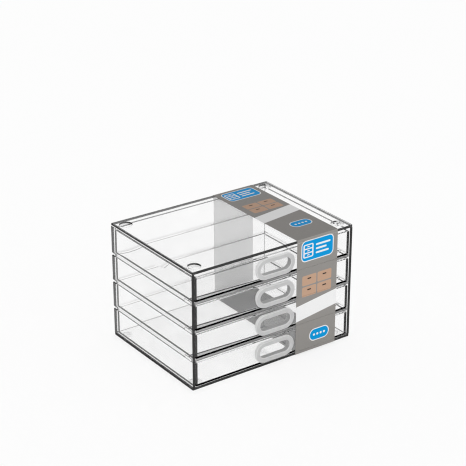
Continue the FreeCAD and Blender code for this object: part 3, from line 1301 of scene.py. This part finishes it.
@dataclass(frozen=True)
class StudioFloor(Recipe):
    """Pale matt floor that keeps a faint shadow, with a painted shadow under the cabinet, where it glows
    less.
    """

    pale: float = 0.9
    glow_share: float = 0.8
    glow_in_painted_shadow: float = 0.72
    painted_shadow_blur: float = 0.004

    def shaders(self, nodes: Nodes) -> dict[str, object]:
        """Matt floor that glows only for rays from the camera, in a reflection or through glass."""
        matt = nodes.add("BsdfDiffuse", Color=rgba(self.pale))
        glow = nodes.add("Emission", Color=rgba(1.0), Strength=1.0)
        low, high = node_box("floor_panel")
        place = nodes.add("TexCoord").outputs["Object"]
        beyond = nodes.beyond(place, ((low + high) / 2)[:2], ((high - low) / 2)[:2])
        # painted shadow: inside the floor panel's footprint the floor glows less
        under = nodes.spread(beyond, self.painted_shadow_blur, 0.0, 0.0, 1.0)
        glowing = nodes.spread(under, 0.0, 1.0, self.glow_share, self.glow_in_painted_shadow)
        path = nodes.add("LightPath").outputs
        mirrored = nodes.math("MAXIMUM", path["Is Camera Ray"], path["Is Glossy Ray"])
        seen = nodes.math("MAXIMUM", mirrored, path["Is Transmission Ray"])
        return {"Surface": nodes.mix(nodes.math("MULTIPLY", seen, glowing), matt, glow)}


@dataclass
class Studio:
    """Camera, floor, room light and how far light is followed."""

    lens_pixels: float = 1468.55
    picture_width: float = 466.0
    sensor_width: float = 36.0
    azimuth: float = -35.648
    elevation: float = 23.8026
    distance: float = 1.24421
    shift_right: float = 0.00115
    shift_up: float = 0.04053
    cabinet_centre: tuple[float, float, float] = (0.0, 0.00095, 0.05277)
    floor_size: float = 6.0
    bounces: int = 256
    glossy_bounces: int = 16
    diffuse_bounces: int = 4
    filter_width: float = 1.2

    def camera(self) -> None:
        """Camera at the photograph's viewing angle: a long lens from the front left, looking down."""
        azimuth, elevation = math.radians(self.azimuth), math.radians(self.elevation)
        level = math.cos(elevation)
        back = Vector((math.sin(azimuth) * level, -math.cos(azimuth) * level, math.sin(elevation)))
        right = Vector((0, 0, 1)).cross(back).normalized()
        up = back.cross(right)
        data = bpy.data.cameras.new("camera")
        data.sensor_width = self.sensor_width
        data.lens = self.lens_pixels / self.picture_width * self.sensor_width
        camera = linked("camera", data)
        centre = Vector(self.cabinet_centre)
        camera.location = centre + back * self.distance + right * self.shift_right + up * self.shift_up
        camera.rotation_euler = Matrix((right, up, back)).transposed().to_euler()
        bpy.context.scene.camera = camera

    def floor(self) -> None:
        """Wide floor under the feet."""
        half = self.floor_size / 2
        mesh = bpy.data.meshes.new("studio_floor")
        corners = [(-half, -half, 0), (half, -half, 0), (half, half, 0), (-half, half, 0)]
        mesh.from_pydata(corners, [], [(0, 1, 2, 3)])
        mesh.materials.append(StudioFloor("studio_floor").make())
        floor = linked("studio_floor", mesh)

    def light(self) -> None:
        """White room all round, with light followed through all the clear layers."""
        world = bpy.data.worlds.new("studio_room")
        bpy.context.scene.world = world
        world.use_nodes = True
        background = world.node_tree.nodes["Background"]
        background.inputs["Color"].default_value = rgba(1.0)
        background.inputs["Strength"].default_value = 1.0
        cycles = bpy.context.scene.cycles
        cycles.max_bounces = self.bounces
        cycles.transmission_bounces = self.bounces
        cycles.glossy_bounces = self.glossy_bounces
        cycles.transparent_max_bounces = self.bounces
        cycles.diffuse_bounces = self.diffuse_bounces
        cycles.filter_width = self.filter_width

    def build(self) -> None:
        """Set up the whole studio."""
        bpy.context.scene.view_settings.view_transform = "Standard"
        self.camera()
        self.floor()
        self.light()


def make_finishes() -> Finishes:
    """Every material of the object."""
    return Finishes(
        face=ClearPlastic("clear_panel", 0.997).make(),
        # painted shade: the panels' edge faces are tinted near black, standing in for the dark lines of
        # light trapped in the plates; the grey haze lifts them as a reflection would
        edge=ClearPlastic(
            "clear_panel_edge_painted_shade", 0.14, mirroring=0.06, shadow_pass=0.6, haze=0.3, sheen_depth=0.0
        ).make(),
        # painted shade: the shelves' front edges pass less light and scatter grey, standing in for the
        # dark hatch of bent light
        shelf_edge=ClearPlastic("clear_shelf_edge", 0.6, haze=0.6, haze_tone=0.3, sheen_depth=0.0).make(),
        joint=SatinPlastic("cemented_joint", (0.95, 0.95, 0.95), roughness=0.35).make(),
        coupled=ClearPlastic("cemented_clear_joint", 0.985, refraction=1.0, sheen_depth=0.0).make(),
        tray_face=ClearPlastic("clear_tray", 0.997).make(),
        tray_edge=ClearPlastic("clear_tray_edge", 0.997, sheen_depth=0.0).make(),
        # the ring's rim tone is a painted highlight
        ring=FrostedPlastic("frosted_ring", face=0.7, rim=0.88).make(),
        # painted shade: the ring's hole wall is darker than the ring, as shade in the recess
        painted_shade_ring_hole=FrostedPlastic("frosted_ring_hole", face=0.5, rim=0.5).make(),
        foot=ClearPlastic("soft_foot", 0.95, absorption=20.0).make(),
        printed=PrintedFilm("printed_film").make(),
        sleeve_inside=FilmInside("film_inside").make(),
    )


def main() -> None:
    """Build the studio and the object."""
    logging.basicConfig(level=logging.INFO, format="%(name)s: %(message)s")
    Studio().build()
    finishes = make_finishes()
    Cabinet(finishes).build()
    for corner in FOOT_CORNERS:
        Foot(finishes).build(corner)
    for number in DRAWERS:
        Drawer(finishes, number).build()
    Sleeve(finishes).build()


if __name__ == "__main__":
    main()
